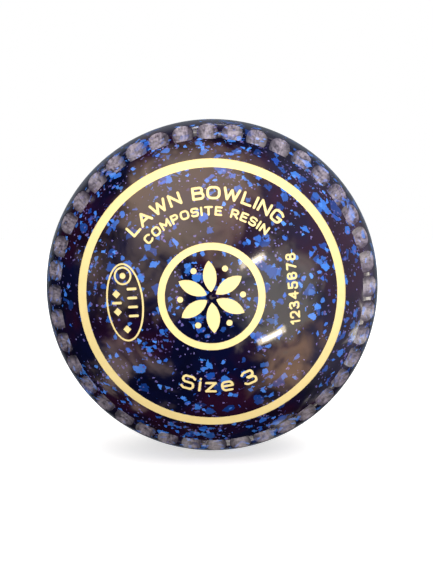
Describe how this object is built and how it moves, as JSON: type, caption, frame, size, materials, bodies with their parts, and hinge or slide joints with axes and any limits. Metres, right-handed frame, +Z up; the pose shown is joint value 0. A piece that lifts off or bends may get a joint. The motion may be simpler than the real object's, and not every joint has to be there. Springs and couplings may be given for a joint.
{
  "type": "lawn bowl",
  "caption": "Glossy speckled lawn bowl with a flattened round bias shape, dimpled grip on both shoulders and cream filled rings and marks on both faces.",
  "frame": {"origin": "centre of the bowl: where the axle meets the plane of the running crown, within a millimetre of the middle between the two faces' poles", "axes": "+Z up with the bowl standing on its running sole; the axle of the turned shape along Y; the non-bias face with the large ring towards -Y, the bias face with the small ring towards +Y"},
  "size_m": [0.1222, 0.1106, 0.1222],
  "materials": {
    "speckled_resin": "polished dark indigo melamine resin with blue and lavender speckle",
    "core_resin": "as moulded black phenolic resin",
    "cream_enamel": "cream enamel cured in the engraving"
  },
  "bodies": {
    "root": {"speckled_shell": "speckled_resin", "moulded_core": "core_resin", "large_ring_fill": "cream_enamel", "centre_ring_fill": "cream_enamel", "emblem_fill": "cream_enamel", "upper_legend_fill": "cream_enamel", "lower_legend_fill": "cream_enamel", "size_mark_fill": "cream_enamel", "serial_number_fill": "cream_enamel", "stamp_outline_fill": "cream_enamel", "stamp_marks_fill": "cream_enamel", "bias_ring_fill": "cream_enamel", "bias_emblem_fill": "cream_enamel", "bias_legend_fill": "cream_enamel", "bias_size_mark_fill": "cream_enamel"}
  },
  "joints": []
}
